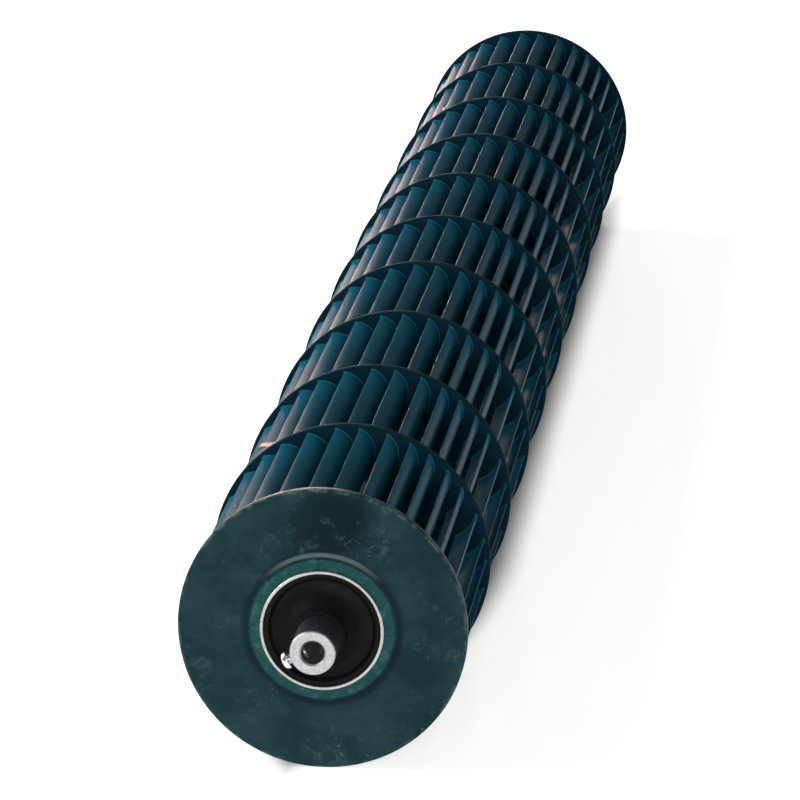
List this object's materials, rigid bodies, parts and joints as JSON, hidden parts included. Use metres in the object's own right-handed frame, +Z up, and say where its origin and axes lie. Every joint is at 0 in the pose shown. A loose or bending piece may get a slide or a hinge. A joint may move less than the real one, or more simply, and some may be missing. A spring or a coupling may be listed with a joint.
{
  "type": "cross flow fan wheel",
  "caption": "Long cross flow blower wheel with rings of curved blades, a rubber-damped clamp hub at the motor end and a shaft stub at the bearing end.",
  "frame": {"origin": "centre of the motor bore at the mouth of the hub", "axes": "+Y along the wheel's axis from the motor end to the bearing end, +Z up"},
  "size_m": [0.098, 0.8365, 0.098],
  "materials": {
    "plastic": "dark green glass-filled plastic, slight sheen",
    "steel": "bright turned steel",
    "rubber": "black moulded rubber",
    "aluminium": "turned aluminium",
    "screw": "bright zinc plate",
    "clip": "coppery spring strip"
  },
  "bodies": {
    "root": {"motor_end_cap": "plastic", "damper_ring": "steel", "rubber_damper": "rubber", "hub_sleeve": "aluminium", "clamp_screw": "screw", "blade_section_1": "plastic", "blade_section_2": "plastic", "blade_section_3": "plastic", "blade_section_4": "plastic", "blade_section_5": "plastic", "blade_section_6": "plastic", "blade_section_7": "plastic", "blade_section_8": "plastic", "blade_section_9": "plastic", "bearing_end_section": "plastic", "bearing_shaft": "steel", "balance_clip_1": "clip", "balance_clip_2": "clip"}
  },
  "joints": []
}
